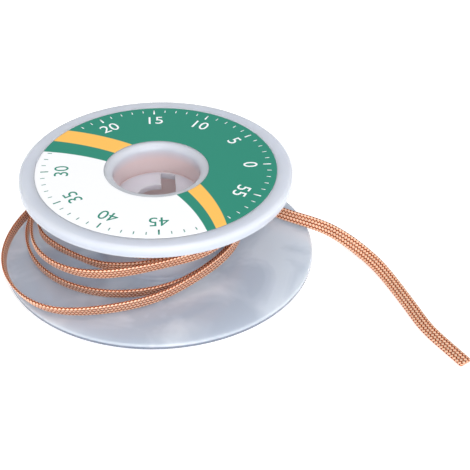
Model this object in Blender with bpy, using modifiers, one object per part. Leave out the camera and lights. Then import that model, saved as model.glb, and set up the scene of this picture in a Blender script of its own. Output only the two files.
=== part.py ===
"""Desoldering braid on its plastic spool, with loose turns and a free tail.

Metres, +Z up. The origin is on the floor, on the axis of the spool, which lies on
its wider flange. Build with: blender --background --python part.py
"""
import bmesh
import bpy
import numpy as np
from math import cos, radians, sin, tau

MM = 0.001

# Spool: one moulding with two flanges, a hub tube and a web across its bore
FLANGE_LOWER_RADIUS = 22.2 * MM
FLANGE_LOWER_THICKNESS = 0.8 * MM
FLANGE_UPPER_RADIUS = 19.0 * MM
FLANGE_UPPER_THICKNESS = 1.6 * MM
SPOOL_HEIGHT = 14.1 * MM
HUB_RADIUS = 8.2 * MM
HUB_FILLET = 0.7 * MM
BORE_RADIUS = 6.05 * MM
BORE_LIP = 0.95 * MM
RIM_ROUND = 0.6 * MM
EDGE_ROUND = 0.2 * MM

# Web across the bore, with its round hole and one slot beside the axis
WEB_DEPTH = 4.5 * MM
WEB_THICKNESS = 1.0 * MM
WEB_HOLE_RADIUS = 2.8 * MM
WEB_SLOT_WIDTH = 2.05 * MM
WEB_SLOT_OFFSET = 1.62 * MM
WEB_SLOT_WALL = 0.4 * MM

# Label: a printed ring in a shallow recess of the upper flange
LABEL_THICKNESS = 0.15 * MM
LABEL_GAP = 0.3 * MM
LABEL_OUTER_RADIUS = 16.76 * MM
LABEL_INNER_RADIUS = 7.3 * MM
LABEL_CLEARANCE = 0.3 * MM

# Braid: flat copper ribbon
BRAID_WIDTH = 2.0 * MM
BRAID_THICKNESS = 0.4 * MM

# Tight winding left on the hub, in lanes side by side and layers over each other
WINDING_LANES = 3
WINDING_LAYERS = 3
WINDING_GAP = 0.3 * MM
LANE_PITCH = 2.15 * MM
LAYER_PITCH = 0.42 * MM
WINDING_GROOVE = 0.12 * MM

# Loose turns from the winding outwards, clockwise from above. Each row is the
# bearing in degrees, the radius and the height of the middle of the ribbon in mm,
# and how far the ribbon's top leans outwards in degrees.
LOOSE_TURNS = [
    (90, 10.4, 6.7, 0), (60, 10.4, 6.7, 0), (30, 10.4, 6.7, 0), (0, 10.4, 6.7, 0),
    (-30, 10.4, 6.5, 0), (-60, 10.4, 6.2, 2), (-90, 10.8, 5.6, 7), (-110, 11.3, 5.1, 14),
    (-131, 12.1, 4.5, 24), (-150, 13.2, 4.3, 28), (-166, 15.1, 4.3, 20), (-182, 17.0, 4.2, 7),
    (-200, 17.2, 4.2, -3), (-225, 15.4, 4.4, -4), (-250, 13.5, 4.9, 0), (-275, 12.0, 5.6, 2),
    (-300, 11.4, 6.1, 2), (-330, 11.3, 6.3, 2), (-360, 11.3, 6.5, 2), (-390, 11.3, 6.5, 5),
    (-420, 11.4, 6.4, 12), (-440, 11.7, 6.4, 20), (-455, 12.6, 6.4, 22), (-470, 14.3, 6.4, 19),
    (-485, 16.3, 6.3, 22), (-500, 17.7, 6.3, 27), (-517, 18.3, 6.5, 12), (-535, 17.8, 6.8, -6),
    (-555, 17.5, 6.8, -8), (-585, 16.0, 6.4, -2), (-610, 14.3, 5.4, 3), (-635, 12.9, 4.5, 5),
    (-660, 12.1, 3.7, 5), (-690, 11.4, 3.3, 5), (-720, 10.8, 3.0, 6), (-750, 10.4, 2.8, 9),
    (-777, 10.5, 2.6, 15), (-797, 11.2, 2.3, 21), (-820, 12.6, 2.1, 23), (-842, 14.5, 2.1, 25),
    (-865, 16.4, 2.0, 24), (-885, 17.9, 2.0, 16), (-905, 19.1, 2.3, 2), (-925, 19.4, 2.4, -6),
    (-945, 18.1, 2.4, -6), (-970, 16.1, 2.4, -2), (-1000, 14.2, 2.7, 2), (-1030, 13.1, 3.1, 4),
    (-1060, 12.4, 3.5, 5), (-1095, 11.6, 3.6, 5), (-1120, 11.2, 3.3, 6), (-1145, 11.6, 2.8, 12),
    (-1170, 13.4, 2.1, 15), (-1195, 17.4, 2.1, 18), (-1215, 21.3, 2.0, 29), (-1232, 22.4, 2.0, 27),
    (-1252, 22.2, 2.0, 8), (-1275, 20.9, 2.3, -7), (-1300, 19.5, 2.3, -6), (-1330, 17.3, 2.1, -1),
]

# Free tail, in mm from the axis: x, y and height of the middle of the ribbon, and the
# same lean, until it lies nearly flat.
FREE_TAIL = [
    (8.0, 12.2, 2.1, 4), (12.6, 9.6, 2.1, 4), (18.5, 5.0, 2.1, 14), (21.86, 2.83, 2.06, 20),
    (24.8, 0.8, 1.88, 26), (27.0, -1.4, 1.56, 36), (29.0, -3.9, 1.12, 50),
    (30.7, -6.85, 0.84, 62), (32.0, -10.1, 0.62, 71), (33.1, -13.6, 0.5, 76),
    (34.1, -17.1, 0.44, 79), (35.1, -20.5, 0.4, 81), (36.8, -24.1, 0.36, 83),
    (38.78, -27.86, 0.34, 84),
]
BRAID_POINTS = 80

ROUND_STEPS = 72
WINDING_STEPS = 48


def clear_scene():
    """Take every object out of the open file."""
    for thing in list(bpy.data.objects):
        bpy.data.objects.remove(thing, do_unlink=True)


def new_collection(name):
    """Add an empty collection to the scene."""
    group = bpy.data.collections.new(name)
    bpy.context.scene.collection.children.link(group)
    return group


def make_material(name, colour, roughness, metallic):
    """A Principled BSDF with one colour, roughness and metallic value."""
    material = bpy.data.materials.new(name)
    material.use_nodes = True
    shader = material.node_tree.nodes["Principled BSDF"]
    shader.inputs["Base Color"].default_value = (*colour, 1.0)
    shader.inputs["Roughness"].default_value = roughness
    shader.inputs["Metallic"].default_value = metallic
    material.diffuse_color = (*colour, 1.0)
    return material


def arc(centre_r, centre_z, radius, start, end, steps):
    """Points (r, z) of an arc between two angles in degrees."""
    angles = np.radians(np.linspace(start, end, steps + 1))
    return [(centre_r + radius * cos(a), centre_z + radius * sin(a)) for a in angles]


def turned(name, profile, steps, closed, material, group):
    """Turn a profile of (r, z) points, listed from top to bottom on its outer side."""
    mesh = bpy.data.meshes.new(name)
    points = [(r, 0.0, z) for r, z in profile]
    edges = [(i, i + 1) for i in range(len(points) - 1)]
    if closed:
        edges.append((len(points) - 1, 0))
    mesh.from_pydata(points, edges, [])
    thing = bpy.data.objects.new(name, mesh)
    group.objects.link(thing)
    screw = thing.modifiers.new("turn", "SCREW")
    screw.angle = tau
    screw.steps = steps
    screw.render_steps = steps
    screw.use_merge_vertices = True
    screw.merge_threshold = 0.00001
    screw.use_smooth_shade = True
    mesh.materials.append(material)
    return thing


def make_spool(material, group, cutters):
    """Both flanges, the hub and the web in one profile, then the web's keyhole."""
    top = SPOOL_HEIGHT
    under_upper = top - FLANGE_UPPER_THICKNESS
    seat = top - LABEL_GAP - LABEL_THICKNESS
    seat_outer = LABEL_OUTER_RADIUS + LABEL_CLEARANCE
    seat_inner = LABEL_INNER_RADIUS - LABEL_CLEARANCE
    lip_centre = BORE_RADIUS + BORE_LIP
    web_top = top - WEB_DEPTH
    web_under = web_top - WEB_THICKNESS
    profile = [(0.0, web_top), (BORE_RADIUS, web_top)]
    profile += arc(lip_centre, top - BORE_LIP, BORE_LIP, 180, 90, 4)[:-1]
    profile += [(seat_inner, top), (seat_inner, seat), (seat_outer, seat), (seat_outer, top)]
    profile += arc(FLANGE_UPPER_RADIUS - RIM_ROUND, top - RIM_ROUND, RIM_ROUND, 90, 0, 4)
    profile += arc(FLANGE_UPPER_RADIUS - EDGE_ROUND, under_upper + EDGE_ROUND, EDGE_ROUND, 0, -90, 2)
    profile += arc(HUB_RADIUS + HUB_FILLET, under_upper - HUB_FILLET, HUB_FILLET, 90, 180, 3)
    fillet_z = FLANGE_LOWER_THICKNESS + HUB_FILLET
    profile += arc(HUB_RADIUS + HUB_FILLET, fillet_z, HUB_FILLET, 180, 270, 3)
    edge_r = FLANGE_LOWER_RADIUS - EDGE_ROUND
    profile += arc(edge_r, FLANGE_LOWER_THICKNESS - EDGE_ROUND, EDGE_ROUND, 90, 0, 2)
    profile += arc(edge_r, EDGE_ROUND, EDGE_ROUND, 0, -90, 2)
    profile += [(BORE_RADIUS + EDGE_ROUND, 0.0), (BORE_RADIUS, EDGE_ROUND)]
    profile += [(BORE_RADIUS, web_under), (0.0, web_under)]
    spool = turned("spool", profile, ROUND_STEPS, False, material, group)
    web_middle = (web_top + web_under) / 2
    for cutter in make_keyhole_cutters(web_middle, cutters):
        cut = spool.modifiers.new(cutter.name, "BOOLEAN")
        cut.operation = "DIFFERENCE"
        cut.object = cutter
    return spool


def make_keyhole_cutters(height, group):
    """A short cylinder for the web's hole and a box for its slot."""
    depth = WEB_THICKNESS * 2
    hole = bmesh.new()
    bmesh.ops.create_cone(hole, cap_ends=True, segments=32, radius1=WEB_HOLE_RADIUS,
                          radius2=WEB_HOLE_RADIUS, depth=depth)
    slot_length = BORE_RADIUS - WEB_SLOT_WALL
    slot = bmesh.new()
    bmesh.ops.create_cube(slot, size=1.0)
    bmesh.ops.scale(slot, verts=slot.verts, vec=(WEB_SLOT_WIDTH, slot_length, depth))
    bmesh.ops.translate(slot, verts=slot.verts, vec=(WEB_SLOT_OFFSET, slot_length / 2, 0.0))
    made = []
    for name, shape in (("web_hole_cutter", hole), ("web_slot_cutter", slot)):
        mesh = bpy.data.meshes.new(name)
        shape.to_mesh(mesh)
        shape.free()
        cutter = bpy.data.objects.new(name, mesh)
        cutter.location.z = height
        cutter.hide_render = True
        cutter.display_type = "WIRE"
        group.objects.link(cutter)
        made.append(cutter)
    return made


def make_label(material, group):
    """A flat ring whose face is level with the flange's rim."""
    top = SPOOL_HEIGHT
    under = top - LABEL_THICKNESS
    profile = [(LABEL_INNER_RADIUS, top), (LABEL_OUTER_RADIUS, top),
               (LABEL_OUTER_RADIUS, under), (LABEL_INNER_RADIUS, under)]
    return turned("label", profile, ROUND_STEPS, True, material, group)


def make_winding(material, group):
    """The tight turns as one ring: lanes show round it, layers show on its ends."""
    inner = HUB_RADIUS + WINDING_GAP
    outer = inner + WINDING_LAYERS * LAYER_PITCH
    fillet_room = HUB_FILLET - WINDING_GAP
    top = SPOOL_HEIGHT - FLANGE_UPPER_THICKNESS - WINDING_GAP - fillet_room
    bottom = top - WINDING_LANES * LANE_PITCH
    profile = []
    for layer in range(WINDING_LAYERS):
        left = inner + layer * LAYER_PITCH
        profile += [(left, top - WINDING_GROOVE), (left + LAYER_PITCH * 0.5, top)]
    for lane in range(WINDING_LANES):
        upper = top - lane * LANE_PITCH
        lower = upper - LANE_PITCH
        profile += [(outer - WINDING_GROOVE, upper - WINDING_GROOVE * (lane == 0)),
                    (outer, upper - LANE_PITCH * 0.15), (outer, lower + LANE_PITCH * 0.15)]
    profile.append((outer - WINDING_GROOVE, bottom + WINDING_GROOVE))
    for layer in reversed(range(WINDING_LAYERS)):
        left = inner + layer * LAYER_PITCH
        profile += [(left + LAYER_PITCH * 0.5, bottom), (left, bottom + WINDING_GROOVE)]
    return turned("wound_braid", profile, WINDING_STEPS, True, material, group)


def spline_through(points, count):
    """A natural cubic spline through rows of numbers, read at even steps of length."""
    rows = np.array(points, float)
    gaps = np.linalg.norm(np.diff(rows[:, :3], axis=0), axis=1)
    t = np.concatenate([[0.0], np.cumsum(gaps)])
    size = len(t)
    matrix = np.eye(size)
    right = np.zeros_like(rows)
    for i in range(1, size - 1):
        matrix[i, i - 1:i + 2] = (gaps[i - 1], 2 * (gaps[i - 1] + gaps[i]), gaps[i])
        right[i] = 6 * ((rows[i + 1] - rows[i]) / gaps[i] - (rows[i] - rows[i - 1]) / gaps[i - 1])
    bend = np.linalg.solve(matrix, right)
    where = np.linspace(0.0, t[-1], count)
    k = np.clip(np.searchsorted(t, where, side="right") - 1, 0, size - 2)
    h = gaps[k][:, None]
    a = (t[k + 1] - where)[:, None]
    b = (where - t[k])[:, None]
    return (bend[k] * a ** 3 + bend[k + 1] * b ** 3) / (6 * h) \
        + (rows[k] / h - bend[k] * h / 6) * a + (rows[k + 1] / h - bend[k + 1] * h / 6) * b


def braid_route():
    """Points (x, y, z) in metres and the ribbon's lean in radians, along its length."""
    rows = []
    for bearing, radius, height, lean in LOOSE_TURNS:
        angle = radians(bearing)
        rows.append((radius * cos(angle), radius * sin(angle), height, lean))
    rows += FREE_TAIL
    smooth = spline_through(rows, BRAID_POINTS)
    return smooth[:, :3] * MM, np.radians(smooth[:, 3])


def make_loose_braid(material, group):
    """The loose turns and the tail as one flat ribbon that stands on its edge."""
    points, leans = braid_route()
    curve = bpy.data.curves.new("loose_braid", "CURVE")
    curve.dimensions = "3D"
    curve.twist_mode = "Z_UP"
    curve.extrude = (BRAID_WIDTH - BRAID_THICKNESS) / 2
    curve.bevel_depth = BRAID_THICKNESS / 2
    curve.bevel_resolution = 2
    curve.use_fill_caps = True
    line = curve.splines.new("POLY")
    line.points.add(len(points) - 1)
    for point, place, lean in zip(line.points, points, leans):
        point.co = (*place, 1.0)
        point.tilt = -lean
    braid = bpy.data.objects.new("loose_braid", curve)
    curve.materials.append(material)
    group.objects.link(braid)
    return braid


def build():
    clear_scene()
    group = new_collection("desoldering_braid")
    cutters = new_collection("cutters")
    plastic = make_material("clear_polypropylene", (0.72, 0.73, 0.78), 0.35, 0.0)
    copper = make_material("copper_braid", (0.72, 0.36, 0.22), 0.35, 1.0)
    print_film = make_material("printed_label", (0.04, 0.22, 0.17), 0.4, 0.0)
    make_spool(plastic, group, cutters)
    make_label(print_film, group)
    make_winding(copper, group)
    make_loose_braid(copper, group)


build()
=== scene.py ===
# %% [markdown]
# A spool of desoldering braid: flat woven copper ribbon on a small spool of natural
# plastic. The shapes are worked out with numpy as grids of points, one formula for each
# piece, and every finish is a small tree of shader nodes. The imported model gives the
# sizes that the pieces have to keep.

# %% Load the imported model
import bmesh
import bpy
import numpy as np
from mathutils import Euler, Matrix, Vector


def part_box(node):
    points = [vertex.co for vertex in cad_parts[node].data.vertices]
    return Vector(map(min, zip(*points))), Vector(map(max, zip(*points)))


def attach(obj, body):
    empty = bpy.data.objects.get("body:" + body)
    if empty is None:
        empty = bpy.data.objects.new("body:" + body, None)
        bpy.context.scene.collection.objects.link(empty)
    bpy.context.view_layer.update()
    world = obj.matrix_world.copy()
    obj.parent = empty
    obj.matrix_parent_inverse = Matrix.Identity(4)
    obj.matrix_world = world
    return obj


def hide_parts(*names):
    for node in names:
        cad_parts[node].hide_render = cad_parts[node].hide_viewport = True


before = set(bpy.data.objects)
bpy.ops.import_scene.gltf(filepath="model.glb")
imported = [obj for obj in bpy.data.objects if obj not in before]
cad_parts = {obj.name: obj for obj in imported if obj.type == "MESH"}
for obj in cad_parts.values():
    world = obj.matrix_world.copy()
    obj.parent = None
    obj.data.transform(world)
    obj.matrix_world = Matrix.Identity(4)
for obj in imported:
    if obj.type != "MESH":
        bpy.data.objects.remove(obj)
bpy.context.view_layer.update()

MM = 0.001
spool_low, spool_high = (np.array(c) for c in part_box("spool"))
winding_low, winding_high = (np.array(c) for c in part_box("wound_braid"))
label_high = np.array(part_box("label")[1])
print("spool height in mm", round((spool_high[2] - spool_low[2]) / MM, 2))

# %% [markdown]
# The photograph was taken from in front and about 36 degrees above, with a long lens
# that keeps the two flanges nearly parallel. A camera is an object with a lens and a
# sensor width: the sensor divided by the lens sets the angle that the picture takes in.

# %% Camera
LENS = 93.55
SENSOR = 36.0
CAMERA_PLACE = Vector((0.0, -143.84, 104.95)) * MM
LOOK_DOWN = 35.48
LOOK_RIGHT = 4.37
ROLL = 0.24

camera_data = bpy.data.cameras.new("camera")
camera_data.lens = LENS
camera_data.sensor_width = SENSOR
camera_data.clip_start = 0.005
camera = bpy.data.objects.new("camera", camera_data)
bpy.context.scene.collection.objects.link(camera)
turn = Euler((np.radians(90 - LOOK_DOWN), 0.0, np.radians(-LOOK_RIGHT))).to_matrix()
turn = turn @ Matrix.Rotation(np.radians(ROLL), 3, "Z")
camera.matrix_world = Matrix.Translation(CAMERA_PLACE) @ turn.to_4x4()
bpy.context.scene.camera = camera
print("camera distance in mm", round(CAMERA_PLACE.length / MM))

# %% [markdown]
# Two helpers make the meshes. The first takes a grid of points, whose rows each go once
# round the piece, and joins them with four-sided faces into a closed skin. The second
# puts points and faces into a mesh with foreach_set, which copies a whole array at once
# and is much quicker than adding faces one by one.

# %% Meshes from grids of points
def grid_skin(points, wrap_rows=False):
    """Points and quads of the closed skin over a rows x columns x 3 array of points.

    Each row joins round on itself. The last row joins the first where wrap_rows is set,
    which makes a ring, and else quads from side to side cap both end rows. The sum of
    a . (b x c) over the triangles is six times the volume inside. Where it comes out
    negative the faces look inwards, so their corners are put in the other order.
    """
    rows, columns = points.shape[:2]
    index = np.arange(rows * columns).reshape(rows, columns)
    joined = np.vstack([index, index[:1]]) if wrap_rows else index
    joined = np.hstack([joined, joined[:, :1]])
    quads = np.stack([joined[:-1, :-1], joined[:-1, 1:], joined[1:, 1:], joined[1:, :-1]], axis=-1)
    quads = quads.reshape(-1, 4)
    if not wrap_rows:
        k = np.arange(columns // 2 - 1)
        cap = np.stack([k, k + 1, columns - 2 - k, columns - 1 - k], axis=-1)
        quads = np.vstack([quads, index[0][cap[:, ::-1]], index[-1][cap]])
    spots = points.reshape(-1, 3)
    a, b, c, d = (spots[quads[:, corner]] for corner in range(4))
    volume = (np.cross(a, b) * c).sum() + (np.cross(a, c) * d).sum()
    return spots, quads if volume > 0 else quads[:, ::-1]


def new_piece(name, points, faces, material, smooth=True):
    """Puts points and faces of one size into a mesh and links it as an object at the origin."""
    mesh = bpy.data.meshes.new(name)
    size = faces.shape[1]
    mesh.vertices.add(len(points))
    mesh.vertices.foreach_set("co", np.ascontiguousarray(points, dtype=np.float32).ravel())
    mesh.loops.add(faces.size)
    mesh.loops.foreach_set("vertex_index", np.ascontiguousarray(faces, dtype=np.int32).ravel())
    mesh.polygons.add(len(faces))
    mesh.polygons.foreach_set("loop_start", np.arange(0, faces.size, size, dtype=np.int32))
    mesh.update(calc_edges=True)
    mesh.validate()
    mesh.materials.append(material)
    piece = bpy.data.objects.new(name, mesh)
    bpy.context.scene.collection.objects.link(piece)
    if smooth:
        mesh.shade_smooth()
    return piece


# %% [markdown]
# A hex colour is stored on the curve of a screen, and a shader wants plain amounts of
# light, so it is turned to linear first. A material is a tree of nodes. One function adds
# a node with its settings and its inputs, so that a tree reads like a formula from its
# first node to its last.

# %% Colours and shader nodes
def linear(hex_colour):
    """The linear RGBA of an sRGB hex colour: each channel by the sRGB curve."""
    channels = np.array([int(hex_colour[k:k + 2], 16) for k in (1, 3, 5)]) / 255
    curve = np.where(channels <= 0.04045, channels / 12.92, ((channels + 0.055) / 1.055) ** 2.4)
    return (*curve.tolist(), 1.0)


def add_node(tree, kind, inputs=None, **settings):
    """Adds a node, sets its settings, and fills its inputs with numbers or with links.

    An input takes a number, a hex colour, another node's socket, or another node, which
    gives the first of its outputs that is in use.
    """
    node = tree.nodes.new(kind)
    for key, value in settings.items():
        setattr(node, key, value)
    for key, value in (inputs or {}).items():
        if isinstance(value, bpy.types.Node):
            value = next(socket for socket in value.outputs if socket.enabled)
        if isinstance(value, bpy.types.NodeSocket):
            tree.links.new(value, node.inputs[key])
        else:
            node.inputs[key].default_value = linear(value) if isinstance(value, str) else value
    return node


def new_material(name):
    """A material with an empty tree of nodes, and that tree."""
    material = bpy.data.materials.new(name)
    material.use_nodes = True
    material.node_tree.nodes.clear()
    return material, material.node_tree


# %% [markdown]
# The copper ribbon leaves the tight winding, runs four loose turns round the hub and
# ends in a free tail. Its middle line is a list of places. A place in a turn is its
# bearing in degrees, its radius and its height in mm, and a place in the tail is x, y and
# z in mm. The fourth number is how many degrees the ribbon's top leans outwards, so that
# it can twist from standing on its edge to lying flat.

# %% Route of the loose braid
LOOSE_TURNS = [
    (90, 10.4, 6.7, 0), (60, 10.4, 6.7, 0), (30, 10.4, 6.7, 0), (0, 10.4, 6.7, 0),
    (-30, 10.4, 6.5, 0), (-60, 10.4, 6.2, 2), (-90, 10.8, 5.6, 7), (-110, 11.3, 5.1, 14),
    (-131, 12.1, 4.5, 24), (-150, 13.2, 4.3, 28), (-166, 15.1, 4.3, 20), (-182, 17.0, 4.2, 7),
    (-200, 17.2, 4.2, -3), (-225, 15.4, 4.4, -4), (-250, 13.5, 4.9, 0), (-275, 12.0, 5.6, 2),
    (-300, 11.4, 6.1, 2), (-330, 11.3, 6.3, 2), (-360, 11.3, 6.5, 2), (-390, 11.3, 6.5, 5),
    (-420, 11.4, 6.4, 12), (-440, 11.7, 6.4, 20), (-455, 12.6, 6.4, 22), (-470, 14.3, 6.4, 19),
    (-485, 16.3, 6.3, 22), (-500, 17.7, 6.3, 27), (-517, 18.3, 6.5, 12), (-535, 17.8, 6.8, -6),
    (-555, 17.5, 6.8, -8), (-585, 16.0, 6.4, -2), (-610, 14.3, 5.4, 3), (-635, 12.9, 4.5, 5),
    (-660, 12.1, 3.7, 5), (-690, 11.4, 3.3, 5), (-720, 10.8, 3.0, 6), (-750, 10.4, 2.8, 9),
    (-777, 10.5, 2.6, 15), (-797, 11.2, 2.3, 21), (-820, 12.6, 2.1, 23), (-842, 14.5, 2.1, 25),
    (-865, 16.4, 2.0, 24), (-885, 17.9, 2.0, 16), (-905, 19.1, 2.3, 2), (-925, 19.4, 2.4, -6),
    (-945, 18.1, 2.4, -6), (-970, 16.1, 2.4, -2), (-1000, 14.2, 2.7, 2), (-1030, 13.1, 3.1, 4),
    (-1060, 12.4, 3.5, 5), (-1095, 11.6, 3.6, 5), (-1120, 11.2, 3.3, 6), (-1145, 11.6, 2.8, 12),
    (-1170, 13.4, 2.1, 15), (-1195, 17.4, 2.1, 18), (-1215, 21.3, 2.0, 29), (-1232, 22.4, 2.0, 27),
    (-1252, 22.2, 2.0, 8), (-1275, 20.9, 2.3, -7), (-1300, 19.5, 2.3, -6), (-1330, 17.3, 2.1, -1),
]
FREE_TAIL = [
    (8.0, 12.2, 2.1, 4), (12.6, 9.6, 2.1, 4), (18.5, 5.0, 2.1, 14), (21.86, 2.83, 2.06, 20),
    (24.8, 0.8, 1.88, 26), (27.0, -1.4, 1.56, 36), (29.0, -3.9, 1.12, 50),
    (30.7, -6.85, 0.84, 62), (32.0, -10.1, 0.62, 71), (33.1, -13.6, 0.5, 76),
    (34.1, -17.1, 0.44, 79), (35.1, -20.5, 0.4, 81), (36.8, -24.1, 0.36, 83),
    (38.78, -27.86, 0.34, 84),
]
BRAID_WIDTH = 2.0
BRAID_THICKNESS = 0.4

turns = np.array(LOOSE_TURNS, float)
bearing = np.radians(turns[:, 0])
route = np.column_stack([turns[:, 1] * np.cos(bearing), turns[:, 1] * np.sin(bearing), turns[:, 2:]])
route = np.vstack([route, FREE_TAIL])
print("places on the route", len(route))

# %% [markdown]
# Braid bends evenly, so its line needs a curve with no corner and no sudden change of
# bend. A natural cubic spline is such a curve, and it passes through every place.

# %% Smooth line of the loose braid
COARSE_STEPS = 4000


def spline_through(points, count):
    """A natural cubic spline through rows of numbers, read at even steps of length.

    Between two points the curve is a cubic whose bend runs straight from one point's
    bend to the next one's, and the bends are solved so that the slopes agree.
    """
    rows = np.array(points, float)
    gaps = np.linalg.norm(np.diff(rows[:, :3], axis=0), axis=1)
    t = np.concatenate([[0.0], np.cumsum(gaps)])
    size = len(t)
    slopes = np.diff(rows, axis=0) / gaps[:, None]
    matrix = np.eye(size)
    inner = np.arange(1, size - 1)
    matrix[inner, inner - 1] = gaps[:-1]
    matrix[inner, inner] = 2 * (gaps[:-1] + gaps[1:])
    matrix[inner, inner + 1] = gaps[1:]
    right = np.zeros_like(rows)
    right[1:-1] = 6 * np.diff(slopes, axis=0)
    bend = np.linalg.solve(matrix, right)
    where = np.linspace(0.0, t[-1], count)
    k = np.clip(np.searchsorted(t, where, side="right") - 1, 0, size - 2)
    h = gaps[k][:, None]
    a = (t[k + 1] - where)[:, None]
    b = (where - t[k])[:, None]
    return ((bend[k] * a ** 3 + bend[k + 1] * b ** 3) / (6 * h)
            + (rows[k] / h - bend[k] * h / 6) * a + (rows[k + 1] / h - bend[k + 1] * h / 6) * b)


coarse = spline_through(route, COARSE_STEPS)
BRAID_LENGTH = float(np.linalg.norm(np.diff(coarse[:, :3], axis=0), axis=1).sum())
print("loose braid in mm", round(BRAID_LENGTH, 1))

# %% [markdown]
# Braid is a tube of 16 bundles of fine wire, pressed flat. Eight bundles run clockwise
# and eight the other way, and each passes over two and under two. Where the clockwise
# bundles are on top the strands slant one way, and beside them they slant the other, so
# the face shows rows of slanting strands with a dark zigzag between them. One formula
# gives the height of the weave at every place, and both the mesh and the shader use it.

# %% Weave of the braid
CARRIERS_EACH_WAY = 8
LAY = 4.2
FIRST_CROSSING = 0.25
WAVE_PEAKS = (1.0, 3.0)
CROWN_POWER = 0.4
WAVE_POWER = 0.7


def weave(around, along):
    """Height from 0 to 1 of the top strand, where around is in turns and along in mm.

    p counts the clockwise bundles and q the others. A bundle shows where its slow wave,
    with a period of four crossings, is above zero. Its height there is the wave times the
    crown across it, each raised to a power below one, which keeps the tops broad. The
    surface is the higher of the two bundles.
    """
    p = CARRIERS_EACH_WAY * (around - along / LAY) + FIRST_CROSSING
    q = CARRIERS_EACH_WAY * (around + along / LAY) + FIRST_CROSSING
    heights = []
    for own, other, peak in ((p, q, WAVE_PEAKS[0]), (q, p, WAVE_PEAKS[1])):
        number = np.floor(own)
        crown = np.sin(np.pi * (own - number)) ** CROWN_POWER
        wave = np.maximum(np.cos(np.pi / 2 * (other + number - peak)), 0) ** WAVE_POWER
        heights.append(crown * wave)
    return np.maximum(*heights)


pick = LAY / CARRIERS_EACH_WAY
print("one crossing in mm", round(pick, 3))

# %% [markdown]
# A flat ribbon with round edges has a stadium for its outline. It is carried along the
# route on two axes, one across the ribbon and one through it. The height of the weave is
# kept nowhere, but its place is, as a UV map: turns round the tube and mm along it.

# %% Outline, axes and weave map of a ribbon
def flat_tube(around, half_flat, radius):
    """Points and outward normals of a stadium: two straight sides joined by half circles.

    around runs from 0 to 1 by length, from the middle of one end. The first number is
    across the ribbon's width, the second through its thickness.
    """
    girth = 4 * half_flat + 2 * np.pi * radius
    run = (around % 1.0) * girth
    quarter = np.pi * radius / 2
    half = girth / 2
    second = run >= half
    run = np.where(second, run - half, run)
    first_arc = run < quarter
    straight = (run >= quarter) & (run < quarter + 2 * half_flat)
    angle = np.where(first_arc, run / radius,
                     np.where(straight, np.pi / 2, (run - 2 * half_flat) / radius))
    middle = np.where(first_arc, half_flat,
                      np.where(straight, half_flat - (run - quarter), -half_flat))
    normal = np.stack([np.cos(angle), np.sin(angle)], axis=-1)
    point = normal * radius
    point[..., 0] += middle
    sign = np.where(second, -1.0, 1.0)[..., None]
    return point * sign, normal * sign


def ribbon_axes(path, lean):
    """Width axis and thickness axis along a path.

    The width axis is upright and square to the path, then leaned outwards, which is to
    the left of the way that the path runs.
    """
    tangent = np.gradient(path, axis=0)
    tangent /= np.linalg.norm(tangent, axis=1)[:, None]
    left = np.stack([-tangent[:, 1], tangent[:, 0], np.zeros(len(path))], axis=1)
    left /= np.linalg.norm(left, axis=1)[:, None]
    up = np.cross(tangent, left)
    width = np.cos(lean)[:, None] * up + np.sin(lean)[:, None] * left
    return width, np.cross(width, tangent)


def store_weave(piece, faces, around, along, periods):
    """Keeps the weave's place at each face corner, in turns round and mm along, as a UV map.

    A face on the seam has corners at the end and at the start of a period. Its start
    corners get one period more, so that nothing runs backwards in it.
    """
    corners = np.stack([around.ravel(), along.ravel()], axis=-1)[faces]
    wrapped = corners.max(axis=1, keepdims=True) - corners > np.array(periods) / 2
    corners = np.where(wrapped, corners + np.array(periods), corners)
    layer = piece.data.uv_layers.new(name="weave")
    layer.data.foreach_set("uv", corners.astype(np.float32).ravel())


# %% [markdown]
# Copper wire that has been drawn, annealed and dipped in flux is a warm pink metal. A metal
# takes its colour from its base colour alone, so the base runs by the same height that
# shapes the skin: painted shade of dark brown in the gaps between strands, the copper's own
# colour on the strands, and a painted highlight of pale copper on their crowns. The film of
# flux dulls the wire, so the shader is half metal. It works the height out again from the
# UV map, because the pattern is finer than the mesh. The wires themselves are 0.1 mm thick,
# and a bump draws them across each strand.

# %% Copper braid
WIRES_PER_STRAND = 5
WIRE_RELIEF = 0.25
FLAT_SHARE = 0.65
FLUX_PATCH = 11.111
# The dark brown stop is painted shade in the gaps between strands, the middle stop is the copper's own
# colour, and the pale stop is a painted highlight on the crowns.
PAINTED_SHADE_TO_HIGHLIGHT = [(0.33, "#6A1C04"), (0.53, "#FF975C"), (0.78, "#FFDFC6")]


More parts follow.
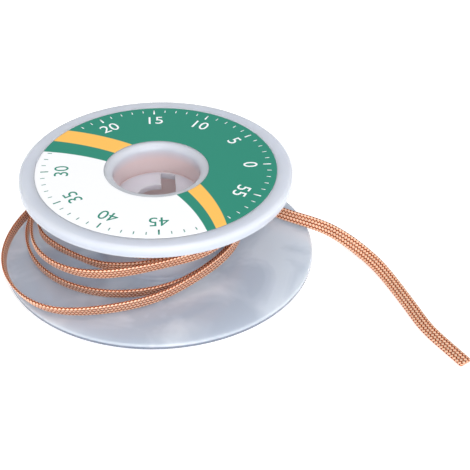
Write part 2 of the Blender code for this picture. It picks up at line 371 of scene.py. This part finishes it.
def copper_braid():
    """Drawn copper wire, woven: painted shade in the gaps to a painted highlight on the crowns by height,
    wires as bump.

    Each crown here is FLAT_SHARE + (1 - FLAT_SHARE) x sine to its power, so that the gaps
    between strands stay narrow.
    """
    material, tree = new_material("woven_drawn_copper")
    spot = add_node(tree, "ShaderNodeSeparateXYZ", {0: add_node(tree, "ShaderNodeUVMap", uv_map="weave")})
    around = add_node(tree, "ShaderNodeMath", {0: spot.outputs["X"], 1: float(CARRIERS_EACH_WAY),
                                               2: FIRST_CROSSING}, operation="MULTIPLY_ADD")
    rate = CARRIERS_EACH_WAY / LAY
    p, q = (add_node(tree, "ShaderNodeMath", {0: spot.outputs["Y"], 1: way * rate, 2: around},
                     operation="MULTIPLY_ADD") for way in (-1, 1))
    heights = []
    for own, other, peak in ((p, q, WAVE_PEAKS[0]), (q, p, WAVE_PEAKS[1])):
        number = add_node(tree, "ShaderNodeMath", {0: own}, operation="FLOOR")
        start = add_node(tree, "ShaderNodeMath", {0: number, 1: peak}, operation="SUBTRACT")
        steps = add_node(tree, "ShaderNodeMath", {0: other, 1: start}, operation="ADD")
        phase = add_node(tree, "ShaderNodeMath", {0: steps, 1: np.pi / 2}, operation="MULTIPLY")
        wave = add_node(tree, "ShaderNodeMath", {0: phase}, operation="COSINE")
        part = add_node(tree, "ShaderNodeMath", {0: own}, operation="FRACT")
        arch = add_node(tree, "ShaderNodeMath", {0: part, 1: np.pi}, operation="MULTIPLY")
        sine = add_node(tree, "ShaderNodeMath", {0: arch}, operation="SINE")
        broad = add_node(tree, "ShaderNodeMath", {0: sine, 1: CROWN_POWER}, operation="POWER")
        crown = add_node(tree, "ShaderNodeMath", {0: broad, 1: 1 - FLAT_SHARE, 2: FLAT_SHARE},
                         operation="MULTIPLY_ADD")
        heights.append(add_node(tree, "ShaderNodeMath", {0: wave, 1: crown}, operation="MULTIPLY"))
    higher = add_node(tree, "ShaderNodeMath", {0: heights[0], 1: heights[1]}, operation="MAXIMUM")
    height = add_node(tree, "ShaderNodeMath", {0: higher, 1: 0.0}, operation="MAXIMUM")
    clockwise = add_node(tree, "ShaderNodeMath", {0: heights[0], 1: heights[1]}, operation="GREATER_THAN")
    across = add_node(tree, "ShaderNodeMix", {0: clockwise, 2: q, 3: p})
    wire_phase = add_node(tree, "ShaderNodeMath", {0: across, 1: np.pi * WIRES_PER_STRAND},
                          operation="MULTIPLY")
    wire_wave = add_node(tree, "ShaderNodeMath", {0: wire_phase}, operation="SINE")
    wires = add_node(tree, "ShaderNodeMath", {0: wire_wave}, operation="ABSOLUTE")
    strands = add_node(tree, "ShaderNodeMath", {0: height, 1: WAVE_POWER}, operation="POWER")
    relief = add_node(tree, "ShaderNodeMath", {0: wires, 1: WIRE_RELIEF, 2: strands},
                      operation="MULTIPLY_ADD")
    bump = add_node(tree, "ShaderNodeBump", {"Strength": 0.7, "Distance": 0.05 * MM, "Height": relief})
    # Painted shade in the gaps and a painted highlight on the crowns, set by the weave's height.
    ramp = add_node(tree, "ShaderNodeValToRGB", {0: height})
    stops = ramp.color_ramp.elements
    stops.new(PAINTED_SHADE_TO_HIGHLIGHT[1][0])
    for stop, (position, hex_colour) in zip(stops, PAINTED_SHADE_TO_HIGHLIGHT):
        stop.position = position
        stop.color = linear(hex_colour)
    place = add_node(tree, "ShaderNodeTexCoord").outputs["Object"]
    patches = add_node(tree, "ShaderNodeTexNoise", {
        "Vector": place, "Scale": 1 / (FLUX_PATCH * MM), "Detail": 3.0})
    tint = add_node(tree, "ShaderNodeMix", {0: patches, 6: "#FFFFFF", 7: "#FBE6D8"}, data_type="RGBA")
    flux_stain_and_painted_light = add_node(tree, "ShaderNodeMix", {0: 1.0, 6: ramp, 7: tint},
                      data_type="RGBA", blend_type="MULTIPLY")
    shader = add_node(tree, "ShaderNodeBsdfPrincipled", {
        "Base Color": flux_stain_and_painted_light, "Normal": bump, "Metallic": 0.5, "Specular IOR Level": 0.25, "Roughness": 0.38})
    add_node(tree, "ShaderNodeOutputMaterial", {"Surface": shader})
    return material


copper = copper_braid()
print("nodes in the copper", len(copper.node_tree.nodes))

# %% [markdown]
# The ribbon's skin is the stadium carried along the route, pushed out by the weave. A
# bevelled curve would be quicker to make, but it is smooth, and here the strands show even
# along the edges. Both ends are cut square, with a smaller ring inside the last one and a
# cap across it.

# %% Loose braid and its free tail
RELIEF = 0.07
ROUND_SAMPLES = 24
SAMPLES_PER_PICK = 4
FLAT_HALF = (BRAID_WIDTH - BRAID_THICKNESS) / 2
SKIN_RADIUS = BRAID_THICKNESS / 2 - RELIEF
END_RING_SIZE = 0.55
NO_PERIOD = 1e6


def braid_skin(name, path_mm, lean):
    """A closed woven skin round a path: tube point = path + width * x + thickness * y."""
    steps = np.linalg.norm(np.diff(path_mm, axis=0), axis=1)
    run = np.concatenate([[0.0], np.cumsum(steps)])
    width, thick = ribbon_axes(path_mm, lean)
    around = np.arange(ROUND_SAMPLES) / ROUND_SAMPLES
    around_grid, run_grid = np.meshgrid(around, run)
    height = weave(around_grid, run_grid)
    point, normal = flat_tube(around_grid, FLAT_HALF, SKIN_RADIUS)
    outline = point + normal * (height * RELIEF)[..., None]
    skin = path_mm[:, None] + width[:, None] * outline[..., :1] + thick[:, None] * outline[..., 1:]
    start, end = (path_mm[k] + (skin[k] - path_mm[k]) * END_RING_SIZE for k in (0, -1))
    points, faces = grid_skin(np.concatenate([start[None], skin, end[None]]) * MM)
    piece = new_piece(name, points, faces, copper)
    around_grid, run_grid = (np.pad(g, ((1, 1), (0, 0)), mode="edge") for g in (around_grid, run_grid))
    store_weave(piece, faces, around_grid, run_grid, (1.0, NO_PERIOD))
    return piece


sample_count = int(BRAID_LENGTH / pick * SAMPLES_PER_PICK)
smooth_route = spline_through(route, sample_count)
loose = braid_skin("loose_braid_woven", smooth_route[:, :3], np.radians(smooth_route[:, 3]))
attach(loose, "root")
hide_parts("loose_braid")
print("loose braid faces", len(loose.data.polygons))

# %% [markdown]
# The tight turns still on the hub are three lanes side by side, each three layers deep.
# They could be wound turn by turn, but only the outside shows, so one closed ring stands
# for them all. Its section bulges at each lane, and its two ends at each layer.

# %% Section of the tight winding
HUB_RADIUS = 8.2
HUB_GAP = 0.05
LANES = 3
LAYERS = 3
LANE_BULGE = 0.14
LANE_GROOVE = 0.06
LAYER_BULGE = 0.12
INNER_ROUND = 0.2


def winding_section():
    """(r, z, weave place, ripple) round the winding's section in mm, from the top inner edge out.

    The outside is LANES bulging lanes and each end is LAYERS rounded edges. The weave
    place is half a turn of the braid across each lane, and -1 where none shows. The
    ripple is 1 on the two ends and 0 elsewhere.
    """
    inner = HUB_RADIUS + HUB_GAP
    outer = winding_high[0] / MM - RELIEF
    high, low = winding_high[2] / MM, winding_low[2] / MM
    lane_pitch = (high - low) / LANES
    layer_pitch = (outer - inner) / LAYERS
    layer_t = np.linspace(0, 1, 7)[:-1]
    end = np.array([(inner + (k + t) * layer_pitch, LAYER_BULGE * np.sin(np.pi * t))
                    for k in range(LAYERS) for t in layer_t])
    plain, rippled = -np.ones(len(end)), np.ones(len(end))
    lane_t = np.linspace(0, 1, 13)
    rows = [np.column_stack([end[:, 0], high - LAYER_BULGE + end[:, 1], plain, rippled])]
    for lane in range(LANES):
        z = high - LANE_GROOVE - lane * lane_pitch - lane_t * (lane_pitch - LANE_GROOVE / LANES)
        bulge = LANE_BULGE * (1 - (2 * lane_t - 1) ** 8)
        rows.append(np.column_stack([outer - LANE_BULGE + bulge, z, 0.5 * lane_t, 0 * lane_t]))
    rows.append(np.column_stack([end[::-1, 0], low + LAYER_BULGE - end[::-1, 1], plain, rippled]))
    rows.append(np.array([(inner, low + INNER_ROUND, -1, 0), (inner, high - INNER_ROUND, -1, 0)]))
    return np.vstack(rows)


section = winding_section()
print("points round the winding's section", len(section))

# %% [markdown]
# The section is turned about the hub as a grid, and the same weave lifts its outside. A
# whole number of crossings goes once round, so the pattern closes on itself. On the ends
# a small wave stands for the braid's edges.

# %% Tight winding on the hub
LAYER_RIPPLE = 0.03

pick_count = int(2 * np.pi * winding_high[0] / MM / pick)
round_count = pick_count * SAMPLES_PER_PICK
theta = -np.linspace(0, 2 * np.pi, round_count, endpoint=False)
along = np.linspace(0, pick_count * pick, round_count, endpoint=False)
theta_grid, r_grid = np.meshgrid(theta, section[:, 0])
along_grid, z_grid = np.meshgrid(along, section[:, 1])
place_grid = np.repeat(section[:, 2:3], round_count, axis=1)
around_grid = np.maximum(place_grid, 0)
radius = r_grid + np.where(place_grid >= 0, weave(around_grid, along_grid), 0) * RELIEF
ripple = section[:, 3:4] * LAYER_RIPPLE * np.sin(2 * np.pi * along_grid / pick)
middle_z = (winding_high[2] + winding_low[2]) / 2 / MM
lift = np.sign(z_grid - middle_z) * ripple
points = np.stack([radius * np.cos(theta_grid), radius * np.sin(theta_grid), z_grid + lift], axis=-1) * MM
points, faces = grid_skin(points, wrap_rows=True)
winding = new_piece("wound_braid_woven", points, faces, copper)
store_weave(winding, faces, around_grid, along_grid, (NO_PERIOD, pick_count * pick))
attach(winding, "root")
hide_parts("wound_braid")
print("winding faces", len(winding.data.polygons))

# %% [markdown]
# The spool is one moulding in natural polypropylene: milky, a little see-through, with
# soft gloss. Light that enters it scatters for about two millimetres before it comes out,
# which subsurface scattering gives, and a part of it passes straight on, which
# transmission gives. The mould was spark-eroded, and its fine grain is drawn coarser than
# the real one, so that it shows. The base colour changes by zones, which paint light and
# shade: painted shade a little darker on the upper rim's side, a painted pink glow on the
# bore's wall from the copper behind it, the painted light of the bore, greyer, on the web,
# painted shade greyer and bluer on the thin lower flange with soft patches of painted
# shadow and reflection, and a painted contact shadow dark along the foot of that flange's edge.

# %% Natural polypropylene
FLOW_MARK = 8.333
# The size in mm of the soft patches of painted shadow and reflection on the lower flange.
PAINTED_PATCH = 10.526
GRAIN = 1 / 6
ALL_RADII = (-1.0, 0.0)


def natural_polypropylene():
    """Natural PP out of an injection mould: milky scattering, some light through, satin gloss, with painted
    light and shade by zones.

    A zone is a colour with a pair of heights and a pair of radii in mm. Its share is 0 at
    the first and 1 at the second of each pair, and the two shares are multiplied.
    """
    material, tree = new_material("moulded_natural_polypropylene")
    place = add_node(tree, "ShaderNodeTexCoord").outputs["Object"]
    level = add_node(tree, "ShaderNodeVectorMath", {0: place, 1: (1.0, 1.0, 0.0)}, operation="MULTIPLY")
    radius = add_node(tree, "ShaderNodeVectorMath", {0: level}, operation="LENGTH")
    height = add_node(tree, "ShaderNodeSeparateXYZ", {0: place}).outputs["Z"]
    marks = add_node(tree, "ShaderNodeTexNoise", {
        "Vector": place, "Scale": 1 / (FLOW_MARK * MM), "Detail": 2.0})
    # Random soft patches of painted shadow and reflection on the lower flange, over painted shade that is
    # greyer and bluer than the rest.
    painted_patches = add_node(tree, "ShaderNodeTexNoise", {"Vector": place, "Scale": 1 / (PAINTED_PATCH * MM), "Detail": 3.0,
                                                   "Roughness": 0.55, "Distortion": 0.8})
    painted_patch_share = add_node(tree, "ShaderNodeMapRange", {0: painted_patches, 1: 0.42, 2: 0.6})
    sheet = add_node(tree, "ShaderNodeMix", {0: painted_patch_share, 6: "#BFC8D5", 7: "#D5DDE8"}, data_type="RGBA")
    flow_marks_and_painted_light = add_node(tree, "ShaderNodeMix", {0: marks, 6: "#D3D8E4", 7: "#DEE3ED"}, data_type="RGBA")
    # Painted shade: the upper rim's side a little darker.
    rim_side_painted_shade = ("#CAD1DE", (13.9, 13.1), (18.3, 18.8))
    # Painted light: the bore's wall lighter and pink, a painted glow of the copper behind it.
    bore_wall_painted_glow = ("#EEDADA", (13.4, 11.8), (7.2, 6.6))
    # Painted light of the bore, greyer, on the web.
    web_painted_light = ("#DAD8E2", (13.4, 11.8), (6.0, 5.8))
    # Painted shade, with patches of painted shadow and reflection, on the lower flange.
    lower_flange_painted_shade = (sheet, (1.6, 0.9), ALL_RADII)
    # Painted contact shadow: dark along the foot of the lower flange's edge.
    foot = ("#707888", (0.6, 0.4), (21.8, 22.1))
    # The zones paint light and shade over the flow marks.
    for colour, heights, radii in (rim_side_painted_shade, bore_wall_painted_glow, web_painted_light, lower_flange_painted_shade, foot):
        high = add_node(tree, "ShaderNodeMapRange", {0: height, 1: heights[0] * MM, 2: heights[1] * MM})
        wide = add_node(tree, "ShaderNodeMapRange", {0: radius, 1: radii[0] * MM, 2: radii[1] * MM})
        share = add_node(tree, "ShaderNodeMath", {0: high, 1: wide}, operation="MULTIPLY")
        flow_marks_and_painted_light = add_node(tree, "ShaderNodeMix", {0: share, 6: flow_marks_and_painted_light, 7: colour}, data_type="RGBA")
    grain = add_node(tree, "ShaderNodeTexNoise", {"Vector": place, "Scale": 1 / (GRAIN * MM), "Detail": 2.0})
    bump = add_node(tree, "ShaderNodeBump", {"Strength": 0.12, "Distance": 0.03 * MM, "Height": grain})
    shader = add_node(tree, "ShaderNodeBsdfPrincipled", {
        "Base Color": flow_marks_and_painted_light, "Normal": bump, "Roughness": 0.12, "IOR": 1.49, "Subsurface Weight": 1.0,
        "Subsurface Radius": (1.0, 1.0, 1.0), "Subsurface Scale": 2 * MM, "Transmission Weight": 0.2})
    add_node(tree, "ShaderNodeOutputMaterial", {"Surface": shader})
    return material


plastic = natural_polypropylene()
print("nodes in the plastic", len(plastic.node_tree.nodes))

# %% [markdown]
# Inside the bore is a web with a round hole and a slot in it, where the spool was gated
# and where a holder may grip it. A hole could be cut with a boolean, but the grid can hold
# it too, because a row of the grid may be any closed outline. From a point that both the
# hole and the slot contain, each ray leaves the opening at the farther of its two exits.

# %% Web in the bore
ROUND_COLUMNS = 240
BORE_RADIUS = 6.05
WEB_DEPTH = 4.5
WEB_THICKNESS = 1.0
WEB_EDGE_ROUND = 0.12
HOLE_RADIUS = 2.8
SLOT_WIDTH = 2.05
SLOT_OFFSET = 1.62
SLOT_END = 5.8
RAY_START = (SLOT_OFFSET, 1.2)
top = spool_high[2] / MM
web_top = top - WEB_DEPTH
web_under = web_top - WEB_THICKNESS
column_angle = np.linspace(0, 2 * np.pi, ROUND_COLUMNS, endpoint=False)


def keyhole(ring):
    """The web's opening, one point for each point of a ring round it.

    A ray runs from c = RAY_START to each ring point, in the direction d. It leaves the
    hole where |c + t d| = HOLE_RADIUS, and the slot at its side or at its far end, where
    |c + t d| = SLOT_END. The opening ends at the larger t.
    """
    centre = np.array(RAY_START)
    ray = ring - centre
    ray /= np.linalg.norm(ray, axis=1)[:, None]
    along_ray = ray @ centre
    hole_exit = -along_ray + np.sqrt(along_ray ** 2 - centre @ centre + HOLE_RADIUS ** 2)
    side = SLOT_WIDTH / 2 / np.maximum(np.abs(ray[:, 0]), 1e-6)
    end = -along_ray + np.sqrt(along_ray ** 2 - centre @ centre + SLOT_END ** 2)
    slot_exit = np.where(ray[:, 1] > 0, np.minimum(side, end), 0.0)
    return centre + ray * np.maximum(hole_exit, slot_exit)[:, None]


def web_rows():
    """Rows from near the bore wall in to the keyhole, round its edge and back out.

    A row is opening + (ring - opening) * share, and the last shares round the edge while
    the drop takes them down. The lower rows mirror the upper ones.
    """
    ring = BORE_RADIUS * np.column_stack([np.cos(column_angle), np.sin(column_angle)])
    opening = keyhole(ring)
    gap = np.linalg.norm(ring - opening, axis=1)
    rounding = np.minimum(WEB_EDGE_ROUND, gap * 0.3) / gap
    rows = []
    for share, drop in ((0.66, 0.0), (0.33, 0.0), (rounding, 0.0), (0.3 * rounding, 0.3), (0.0, 1.0)):
        spot = opening + (ring - opening) * np.reshape(share, (-1, 1))
        rows.append(np.column_stack([spot, np.full(len(spot), web_top - WEB_EDGE_ROUND * drop)]))
    mirrored = [row * (1, 1, -1) + (0, 0, web_top + web_under) for row in reversed(rows)]
    return np.stack(rows + mirrored)


web = web_rows()
print("web under the spool's top in mm", WEB_DEPTH)

# %% [markdown]
# The rest of the spool is a shape of revolution, as if turned on a lathe: a section of
# (radius, height) points, turned about the axis. It starts at the bore, goes over the
# lip and the label's recess, round the upper flange, down the hub, round the lower flange
# and back up the bore to the web. Roundings are arcs, because a moulding has no sharp edge.
# A screw modifier would turn the same section, but a grid also joins it to the web.

# %% Spool
UPPER_RADIUS = 19.0
FLANGE_UPPER_THICKNESS = 1.6
FLANGE_LOWER_THICKNESS = 0.8
BORE_LIP = 0.95
RIM_ROUND = 0.6
HUB_FILLET = 0.7
EDGE_ROUND = 0.25
LABEL_INNER = 7.3
LABEL_THICKNESS = 0.12
LABEL_CLEARANCE = 0.01
RECESS_WALL = 0.02
RECESS_EDGE = 0.06
RECESS_ROUND = 0.03
lower_radius = spool_high[0] / MM
label_outer = label_high[0] / MM
seat = top - LABEL_THICKNESS - LABEL_CLEARANCE
upper_under = top - FLANGE_UPPER_THICKNESS
fillet_radius = HUB_RADIUS + HUB_FILLET


def arc(centre_r, centre_z, radius, start, end, steps):
    """(r, z) points between two angles in degrees: centre + radius * (cos, sin)."""
    angle = np.radians(np.linspace(start, end, steps + 1))
    return np.column_stack([centre_r + radius * np.cos(angle), centre_z + radius * np.sin(angle)])


def line(start, end, steps):
    """Evenly spaced (r, z) points, without the last: start * (1 - t) + end * t."""
    t = np.linspace(0, 1, steps + 1)[:-1, None]
    return np.array(start) * (1 - t) + np.array(end) * t


def ring_rows(section):
    """Each (r, z) of a section turned into a row round the axis: (r cos a, r sin a, z)."""
    r, z = section[:, :1], section[:, 1:]
    return np.stack([r * np.cos(column_angle), r * np.sin(column_angle), z + 0 * column_angle], axis=-1)


# The offsets of 0.05 to 0.6 mm below let a straight run begin a little after a rounding.
spool_section = np.vstack([
    line((BORE_RADIUS, web_top), (BORE_RADIUS, top - BORE_LIP), 6),
    arc(BORE_RADIUS + BORE_LIP, top - BORE_LIP, BORE_LIP, 180, 90, 8),
    [(LABEL_INNER - RECESS_EDGE, top), (LABEL_INNER - RECESS_WALL, top - RECESS_ROUND)],
    [(LABEL_INNER - RECESS_WALL, seat)],
    line((LABEL_INNER, seat), (label_outer, seat), 6),
    [(label_outer + RECESS_WALL, seat)],
    [(label_outer + RECESS_WALL, top - RECESS_ROUND), (label_outer + RECESS_EDGE, top)],
    line((label_outer + 0.3, top), (UPPER_RADIUS - RIM_ROUND - 0.05, top), 3),
    arc(UPPER_RADIUS - RIM_ROUND, top - RIM_ROUND, RIM_ROUND, 90, 0, 8),
    arc(UPPER_RADIUS - EDGE_ROUND, upper_under + EDGE_ROUND, EDGE_ROUND, 0, -90, 5),
    line((UPPER_RADIUS - 0.6, upper_under), (fillet_radius + 0.3, upper_under), 5),
    arc(fillet_radius, upper_under - HUB_FILLET, HUB_FILLET, 90, 180, 6),
    line((HUB_RADIUS, upper_under - HUB_FILLET - 0.4),
         (HUB_RADIUS, FLANGE_LOWER_THICKNESS + HUB_FILLET + 0.3), 8),
    arc(fillet_radius, FLANGE_LOWER_THICKNESS + HUB_FILLET, HUB_FILLET, 180, 270, 6),
    line((fillet_radius + 0.4, FLANGE_LOWER_THICKNESS), (lower_radius - 0.6, FLANGE_LOWER_THICKNESS), 8),
    arc(lower_radius - EDGE_ROUND, FLANGE_LOWER_THICKNESS - EDGE_ROUND, EDGE_ROUND, 90, 0, 5),
    arc(lower_radius - EDGE_ROUND, EDGE_ROUND, EDGE_ROUND, 0, -90, 5),
    line((lower_radius - 0.6, 0.0), (BORE_RADIUS + 0.6, 0.0), 6),
    arc(BORE_RADIUS + EDGE_ROUND, EDGE_ROUND, EDGE_ROUND, 270, 180, 4),
    line((BORE_RADIUS, EDGE_ROUND + 0.3), (BORE_RADIUS, web_under), 6),
    [(BORE_RADIUS, web_under)],
])
points, faces = grid_skin(np.concatenate([ring_rows(spool_section), web[::-1]]) * MM, wrap_rows=True)
spool = new_piece("spool_moulding", points, faces, plastic)
spool.data.set_sharp_from_angle(angle=np.radians(50))
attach(spool, "root")
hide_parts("spool")
print("spool faces", len(spool.data.polygons))

# %% [markdown]
# The label is printed film: a white sheet with screen-printed inks, half matt under a thin
# clear coat. A picture of the print would blur close up, so the shader draws it. The
# stripes are parts of big circles, and each spot's distance from a circle's centre is
# compared with its radius: white inside the first circle, then a thin green band, then
# yellow, then green.

# %% Printed film and inks
STRIPE_CIRCLES = [((-20.56, -21.54), 27.39), ((-22.21, -20.90), 30.16), ((-21.14, -17.88), 30.17)]
GREEN = "#218A74"
YELLOW = "#FFC35C"
WHITE = "#FBFCFF"
PRINT_BLUR = 0.04


def printed_film():
    """Screen-printed white film under a clear coat: stripes where |spot - centre| < radius."""
    material, tree = new_material("screen_printed_film")
    place = add_node(tree, "ShaderNodeTexCoord").outputs["Object"]
    level = add_node(tree, "ShaderNodeVectorMath", {0: place, 1: (1.0, 1.0, 0.0)}, operation="MULTIPLY")
    printed = GREEN
    for (centre, radius), ink_colour in zip(STRIPE_CIRCLES[::-1], (YELLOW, GREEN, WHITE)):
        spot = (centre[0] * MM, centre[1] * MM, 0.0)
        away = add_node(tree, "ShaderNodeVectorMath", {0: level, 1: spot}, operation="DISTANCE")
        start, full = (radius + PRINT_BLUR) * MM, (radius - PRINT_BLUR) * MM
        inside = add_node(tree, "ShaderNodeMapRange", {0: away, 1: start, 2: full})
        printed = add_node(tree, "ShaderNodeMix", {0: inside, 6: printed, 7: ink_colour}, data_type="RGBA")
    shader = add_node(tree, "ShaderNodeBsdfPrincipled", {
        "Base Color": printed, "Roughness": 0.42, "Coat Weight": 0.2, "Coat Roughness": 0.18})
    add_node(tree, "ShaderNodeOutputMaterial", {"Surface": shader})
    return material


def screen_ink(name, hex_colour):
    """Screen-printed ink of one colour: a thin even layer, half matt."""
    material, tree = new_material(name)
    shader = add_node(tree, "ShaderNodeBsdfPrincipled", {"Base Color": hex_colour, "Roughness": 0.45})
    add_node(tree, "ShaderNodeOutputMaterial", {"Surface": shader})
    return material


film = printed_film()
white_ink = screen_ink("white_screen_ink", WHITE)
green_ink = screen_ink("green_screen_ink", GREEN)
print("stripes on the label", len(STRIPE_CIRCLES))

# %% [markdown]
# The film is a flat ring in a recess of the upper flange. It is turned from a section, as
# the spool is, with a small bevel at both edges, and it lies just clear of its seat.

# %% Label
FILM_EDGE_WIDTH = 0.03
FILM_EDGE_DROP = 0.02
film_under = seat + LABEL_CLEARANCE
label_section = np.array([
    (label_outer, film_under), (label_outer, top - FILM_EDGE_DROP), (label_outer - FILM_EDGE_WIDTH, top),
    *((r, top) for r in np.linspace(label_outer - 0.2, LABEL_INNER + 0.2, 12)),
    (LABEL_INNER + FILM_EDGE_WIDTH, top), (LABEL_INNER, top - FILM_EDGE_DROP), (LABEL_INNER, film_under),
])
points, faces = grid_skin(ring_rows(label_section) * MM, wrap_rows=True)
label = new_piece("label_film", points, faces, film)
label.data.set_sharp_from_angle(angle=np.radians(40))
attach(label, "root")
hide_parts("label")
print("label width in mm", round(label_outer - LABEL_INNER, 2))

# %% [markdown]
# A plain ring scale runs round the label, with a stroke every 6 degrees and every fifth
# stroke longer. Each stroke is a thin box of ink, white on the green field and green on the
# white one, and none lies on the yellow.

# %% Strokes of the scale
INK_THICKNESS = 0.012
INK_GAP = 0.002
STROKES = 60
SCALE_OUTER = 16.0
SCALE_MIDDLE = 15.6
LONG_STROKE = (14.9, 0.22)
SHORT_STROKE = (15.4, 0.13)
BOX_FACES = np.array([(3, 2, 1, 0), (4, 5, 6, 7), (0, 1, 5, 4), (1, 2, 6, 5), (2, 3, 7, 6), (3, 0, 4, 7)])


def field_at(angle, radius):
    """0 for white, 1 for the green band, 2 for yellow and 3 for green: circles passed."""
    x, y = radius * np.cos(angle), radius * np.sin(angle)
    return sum(np.hypot(x - c[0], y - c[1]) > r for c, r in STRIPE_CIRCLES)


def stroke_points(angle, inner, width):
    """Eight corners of a flat box along a radius: outward * r, half a width to each side."""
    outward = np.array([np.cos(angle), np.sin(angle), 0])
    side = np.array([-np.sin(angle), np.cos(angle), 0]) * width / 2
    low = np.array([outward * inner - side, outward * SCALE_OUTER - side,
                    outward * SCALE_OUTER + side, outward * inner + side])
    low = low + (0, 0, top + INK_GAP)
    return np.vstack([low, low + (0, 0, INK_THICKNESS)]) * MM


for name, ink, wanted in (("scale_on_green", white_ink, 3), ("scale_on_white", green_ink, 0)):
    strokes = []
    for k in range(STROKES):
        angle = 2 * np.pi * k / STROKES
        if field_at(angle, SCALE_MIDDLE) == wanted:
            strokes.append(stroke_points(angle, *(LONG_STROKE if k % 5 == 0 else SHORT_STROKE)))
    stroke_faces = np.vstack([BOX_FACES + 8 * k for k in range(len(strokes))])
    scale = new_piece(name, np.vstack(strokes), stroke_faces, ink, smooth=False)
    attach(scale, "root")
    print(name, "strokes", len(strokes))

# %% [markdown]
# The numbers come from the built-in font, which gives a curve. It becomes a mesh first and
# is moved to its place after that, so that its object stays at the origin. A font's
# outlines touch in places, so points that lie together are joined.

# %% Numbers of the scale
NUMBERS = 12
NUMBER_RADIUS = 13.0
NUMBER_SIZE = 2.835
JOIN_DISTANCE = 2e-6


def number_mesh(text, angle):
    """The mesh of a number on the ring: turned until its foot points at the axis, then moved out."""
    curve = bpy.data.curves.new("number", "FONT")
    curve.body = text
    curve.align_x, curve.align_y = "CENTER", "CENTER"
    curve.size = NUMBER_SIZE * MM
    curve.extrude = INK_THICKNESS * MM / 2
    curve.resolution_u = 4
    holder = bpy.data.objects.new("number", curve)
    bpy.context.scene.collection.objects.link(holder)
    mesh = bpy.data.meshes.new_from_object(holder.evaluated_get(bpy.context.evaluated_depsgraph_get()))
    bpy.data.objects.remove(holder)
    x, y = NUMBER_RADIUS * np.cos(angle), NUMBER_RADIUS * np.sin(angle)
    place = Matrix.Translation((x * MM, y * MM, (top + INK_GAP + INK_THICKNESS / 2) * MM))
    mesh.transform(place @ Matrix.Rotation(angle - np.pi / 2, 4, "Z"))
    edit = bmesh.new()
    edit.from_mesh(mesh)
    bmesh.ops.remove_doubles(edit, verts=edit.verts, dist=JOIN_DISTANCE)
    edit.to_mesh(mesh)
    edit.free()
    return mesh


for k in range(NUMBERS):
    angle = 2 * np.pi * k / NUMBERS
    field = field_at(angle, NUMBER_RADIUS)
    if field in (1, 2):
        continue
    mesh = number_mesh(str(5 * k), angle)
    mesh.materials.clear()
    mesh.materials.append(green_ink if field == 0 else white_ink)
    number = bpy.data.objects.new("number_" + str(5 * k), mesh)
    bpy.context.scene.collection.objects.link(number)
    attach(number, "root")
    print(number.name, "faces", len(mesh.polygons))

# %% [markdown]
# The spool stands on a table painted matt white. The paint has hardly any gloss, and it
# glows a little here, which keeps the ground white right up to the spool and fills the
# gap between the flanges from below.

# %% White table
FLOOR_HALF = 1.5
FLOOR_HEIGHT = -0.0001

table_paint, tree = new_material("matt_white_paint")
shader = add_node(tree, "ShaderNodeBsdfPrincipled", {
    "Base Color": "#FAFAFB", "Roughness": 0.9, "Specular IOR Level": 0.1, "Emission Color": "#FFFFFF",
    "Emission Strength": 0.4})
add_node(tree, "ShaderNodeOutputMaterial", {"Surface": shader})
floor_corners = np.array([(-1, -1, 0), (1, -1, 0), (1, 1, 0), (-1, 1, 0)]) * FLOOR_HALF
floor_corners = floor_corners + (0, 0, FLOOR_HEIGHT)
floor = new_piece("floor", floor_corners, np.array([[0, 1, 2, 3]]), table_paint, smooth=False)
print("table width in m", 2 * FLOOR_HALF)

# %% [markdown]
# A light tent stands round the table, and the world light plays its part. It is brightest
# in front and a little to the right, and darkest behind. The dot product of a direction
# with the way to the brightest part says how near the two are, and sets the strength.

# %% Light tent
BRIGHTEST_WAY = (0.3, -0.95, 0.0)
TENT_DOTS = (-0.3, 0.95)
TENT_STRENGTHS = (0.3, 1.75)

world = bpy.data.worlds.new("tent")
world.use_nodes = True
tree = world.node_tree
tree.nodes.clear()
direction = add_node(tree, "ShaderNodeTexCoord").outputs["Generated"]
nearness = add_node(tree, "ShaderNodeVectorMath", {0: direction, 1: BRIGHTEST_WAY}, operation="DOT_PRODUCT")
strength = add_node(tree, "ShaderNodeMapRange", {0: nearness, 1: TENT_DOTS[0], 2: TENT_DOTS[1],
                                                 3: TENT_STRENGTHS[0], 4: TENT_STRENGTHS[1]})
background = add_node(tree, "ShaderNodeBackground", {"Color": "#FFFFFF", "Strength": strength})
add_node(tree, "ShaderNodeOutputWorld", {"Surface": background})
bpy.context.scene.world = world
print("tent strength from", TENT_STRENGTHS[0], "to", TENT_STRENGTHS[1])

# %% [markdown]
# Two soft boxes give the plastic its sheen, one above and one in front. Each is a white
# rectangle of light that points at the middle of the spool's foot.

# %% Soft boxes
def soft_box(name, place, size, watts):
    """A rectangle of light at a place in metres, turned so that it looks at the origin."""
    data = bpy.data.lights.new(name, "AREA")
    data.shape = "RECTANGLE"
    data.size, data.size_y = size
    data.energy = watts
    light = bpy.data.objects.new(name, data)
    look = (-Vector(place)).to_track_quat("-Z", "Y").to_matrix().to_4x4()
    light.matrix_world = Matrix.Translation(place) @ look
    bpy.context.scene.collection.objects.link(light)


soft_box("box_above", (0.0, 0.02, 0.45), (0.26, 0.26), 0.46)
soft_box("box_front", (0.02, -0.38, 0.2), (0.30, 0.20), 0.5)
bpy.context.scene.view_settings.view_transform = "Standard"
bpy.context.scene.view_settings.look = "None"
print("lights", len(bpy.data.lights))
